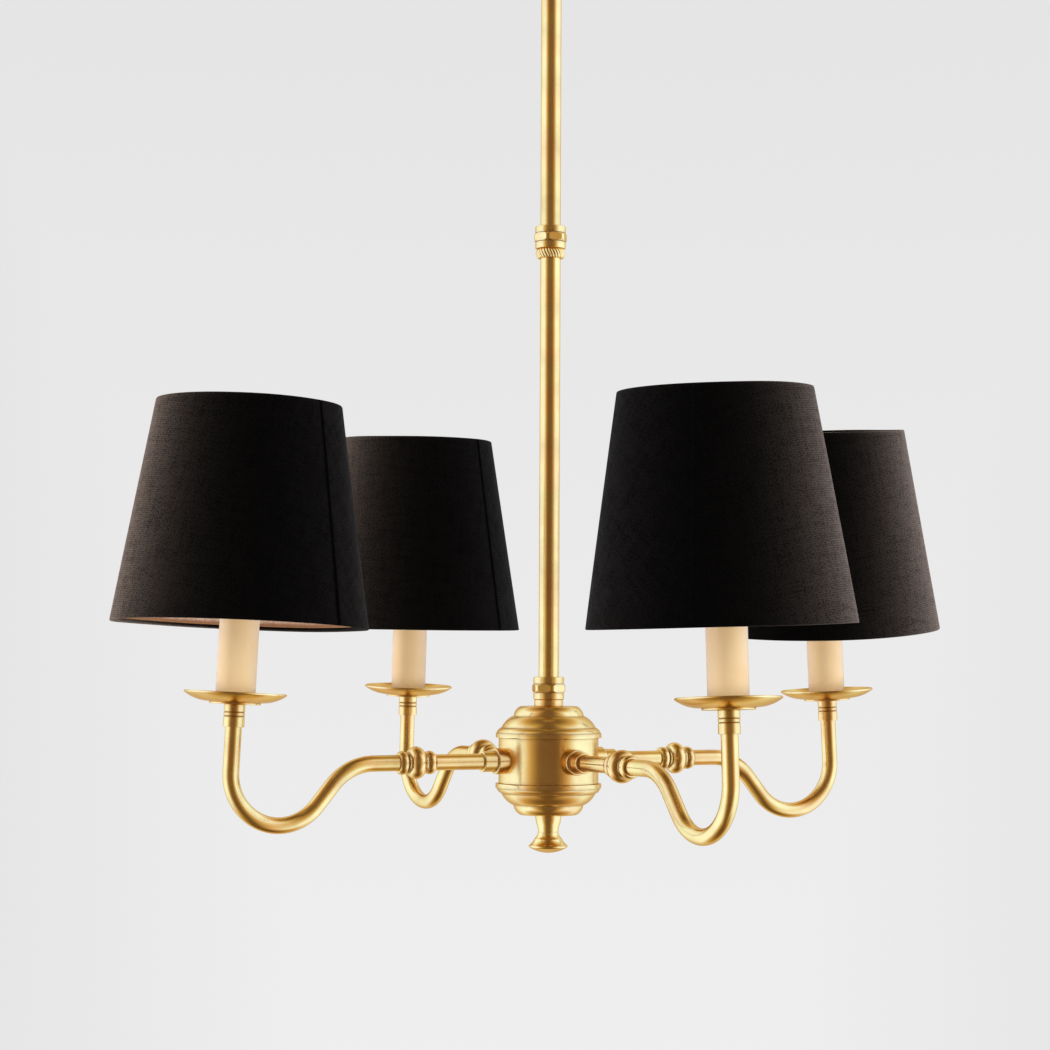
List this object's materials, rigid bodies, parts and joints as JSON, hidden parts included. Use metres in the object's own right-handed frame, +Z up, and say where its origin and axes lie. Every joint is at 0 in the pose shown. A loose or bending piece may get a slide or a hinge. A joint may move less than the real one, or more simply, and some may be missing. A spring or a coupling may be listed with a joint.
{
  "type": "chandelier",
  "caption": "Brass chandelier on a long jointed rod, with curved arms from a turned body, drip pans, cream candle tubes and tapered black linen shades, hung from a ceiling swivel.",
  "frame": {"origin": "on the ceiling plane, midway between the two bracket screws, on the rod's axis", "axes": "+Z up to the ceiling; +X along the line of the bracket screws; the picture looks along +Y"},
  "size_m": [0.5266, 0.5274, 0.6386],
  "materials": {
    "brass": "satin, lightly aged",
    "brass_thread": "threaded, plain",
    "plated_steel": "zinc plated",
    "block_plastic": "moulded",
    "candle_cream": "satin",
    "holder_plastic": "moulded",
    "cap_metal": "bright",
    "opal_glass": "opal",
    "black_linen": "black linen outside, pale lining inside",
    "brass_wire": "plated wire"
  },
  "bodies": {
    "ceiling": {"ceiling_bracket": "plated_steel", "terminal_block": "block_plastic", "canopy": "brass"},
    "swivel": {"swivel_fork": "brass", "bracket_nut": "plated_steel", "canopy_nut": "brass", "swivel_pin": "brass"},
    "fixture": {"swivel_tongue": "brass", "upper_rod": "brass", "rod_coupler": "brass", "rod_rope_ring": "brass", "rod_nipple": "brass_thread", "lower_rod": "brass", "neck_coupler": "brass", "neck_ring": "brass", "body_top_cover": "brass", "body_shell": "brass", "body_bottom_cover": "brass", "tie_tube": "brass_thread", "finial": "brass", "arm_ferrules": "brass", "lock_nuts": "brass_thread", "tip_collars": "brass", "arm_1": "brass", "arm_2": "brass", "arm_3": "brass", "arm_4": "brass", "knuckle_1": "brass", "knuckle_2": "brass", "knuckle_3": "brass", "knuckle_4": "brass", "drip_pan_1": "brass", "drip_pan_2": "brass", "drip_pan_3": "brass", "drip_pan_4": "brass", "candle_tube_1": "candle_cream", "candle_tube_2": "candle_cream", "candle_tube_3": "candle_cream", "candle_tube_4": "candle_cream", "lampholder_1": "holder_plastic", "lampholder_2": "holder_plastic", "lampholder_3": "holder_plastic", "lampholder_4": "holder_plastic"},
    "bulb_1": {"bulb_cap_1": "cap_metal", "bulb_glass_1": "opal_glass"},
    "shade_set_1": {"shade_1": "black_linen", "shade_frame_1": "brass_wire"},
    "bulb_2": {"bulb_cap_2": "cap_metal", "bulb_glass_2": "opal_glass"},
    "shade_set_2": {"shade_2": "black_linen", "shade_frame_2": "brass_wire"},
    "bulb_3": {"bulb_cap_3": "cap_metal", "bulb_glass_3": "opal_glass"},
    "shade_set_3": {"shade_3": "black_linen", "shade_frame_3": "brass_wire"},
    "bulb_4": {"bulb_cap_4": "cap_metal", "bulb_glass_4": "opal_glass"},
    "shade_set_4": {"shade_4": "black_linen", "shade_frame_4": "brass_wire"}
  },
  "joints": [
    {"name": "swivel_spin", "type": "hinge", "parent": "ceiling", "child": "swivel", "pos_m": [0, 0, -0.012], "axis": [0, 0, 1], "range_deg": [-170, 170]},
    {"name": "swivel_tilt", "type": "hinge", "parent": "swivel", "child": "fixture", "pos_m": [0, 0, -0.0578], "axis": [1, 0, 0], "range_deg": [-40, 40]},
    {"name": "bulb_turn_1", "type": "hinge", "parent": "fixture", "child": "bulb_1", "pos_m": [0.09953, -0.18331, -0.45872], "axis": [-0.025, 0.046, 0.9986], "range_deg": [0, 1080]},
    {"name": "shade_turn_1", "type": "hinge", "parent": "bulb_1", "child": "shade_set_1", "pos_m": [0.09835, -0.18114, -0.41178], "axis": [-0.025, 0.046, 0.9986], "continuous": true},
    {"name": "bulb_turn_2", "type": "hinge", "parent": "fixture", "child": "bulb_2", "pos_m": [0.18417, 0.09792, -0.45872], "axis": [-0.0462, -0.0246, 0.9986], "range_deg": [0, 1080]},
    {"name": "shade_turn_2", "type": "hinge", "parent": "bulb_2", "child": "shade_set_2", "pos_m": [0.182, 0.09677, -0.41178], "axis": [-0.0462, -0.0246, 0.9986], "continuous": true},
    {"name": "bulb_turn_3", "type": "hinge", "parent": "fixture", "child": "bulb_3", "pos_m": [-0.09792, 0.18417, -0.45872], "axis": [0.0246, -0.0462, 0.9986], "range_deg": [0, 1080]},
    {"name": "shade_turn_3", "type": "hinge", "parent": "bulb_3", "child": "shade_set_3", "pos_m": [-0.09677, 0.182, -0.41178], "axis": [0.0246, -0.0462, 0.9986], "continuous": true},
    {"name": "bulb_turn_4", "type": "hinge", "parent": "fixture", "child": "bulb_4", "pos_m": [-0.18417, -0.09792, -0.45872], "axis": [0.0462, 0.0246, 0.9986], "range_deg": [0, 1080]},
    {"name": "shade_turn_4", "type": "hinge", "parent": "bulb_4", "child": "shade_set_4", "pos_m": [-0.182, -0.09677, -0.41178], "axis": [0.0462, 0.0246, 0.9986], "continuous": true}
  ]
}
